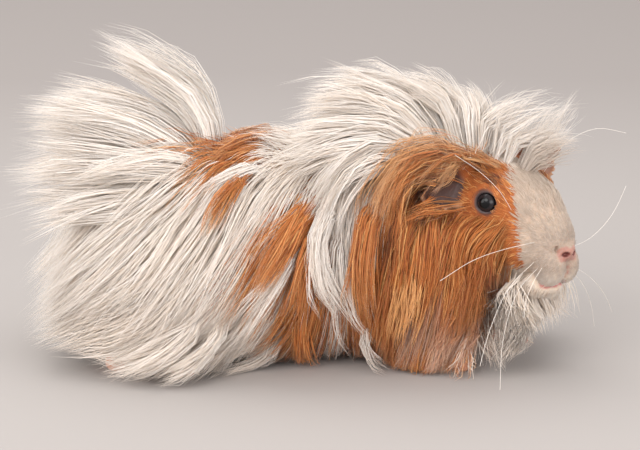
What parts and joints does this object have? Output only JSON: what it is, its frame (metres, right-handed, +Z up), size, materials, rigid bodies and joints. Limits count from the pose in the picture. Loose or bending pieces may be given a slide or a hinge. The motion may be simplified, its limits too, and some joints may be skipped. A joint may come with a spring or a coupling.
{
  "type": "guinea pig",
  "caption": "Still, life-size long-haired guinea pig standing low with its head turned, in cream-white and ginger, with a raised plume of hair on its rump.",
  "frame": {"origin": "on the ground under the middle of the box that holds the whole animal, hair tips included", "axes": "+X toward the head, +Y toward the animal's left side, +Z up"},
  "size_m": [0.2756, 0.1364, 0.1495],
  "materials": {
    "white_coat": "long soft hair, cream white",
    "ginger_coat": "long soft hair, ginger",
    "skin": "bare or thinly haired skin, satin",
    "eye": "wet gloss, near black",
    "claw": "horn, slightly translucent"
  },
  "bodies": {
    "root": {"eye_right": "eye", "eye_left": "eye", "claw_front_right_1": "claw", "claw_front_right_2": "claw", "claw_front_right_3": "claw", "claw_front_right_4": "claw", "claw_front_left_1": "claw", "claw_front_left_2": "claw", "claw_front_left_3": "claw", "claw_front_left_4": "claw", "claw_hind_right_1": "claw", "claw_hind_right_2": "claw", "claw_hind_right_3": "claw", "claw_hind_left_1": "claw", "claw_hind_left_2": "claw", "claw_hind_left_3": "claw", "leg_front_right": "skin", "leg_front_left": "skin", "leg_hind_right": "skin", "leg_hind_left": "skin", "nose": "skin", "head": "white_coat", "ear_right": "skin", "ear_left": "skin", "rump": "white_coat", "trunk": "ginger_coat", "chest": "white_coat", "neck": "ginger_coat", "cheek_right": "ginger_coat", "cheek_left": "white_coat", "mane": "white_coat", "plume_lock_1": "white_coat", "plume_lock_2": "white_coat", "plume_lock_3": "white_coat", "plume_lock_4": "white_coat", "plume_lock_5": "white_coat", "plume_lock_6": "white_coat", "plume_lock_7": "white_coat", "plume_lock_8": "white_coat", "plume_lock_9": "white_coat", "plume_lock_10": "white_coat", "plume_lock_11": "white_coat", "mane_lock_1": "white_coat", "mane_lock_2": "white_coat", "mane_lock_3": "white_coat", "mane_lock_4": "white_coat"}
  },
  "joints": []
}
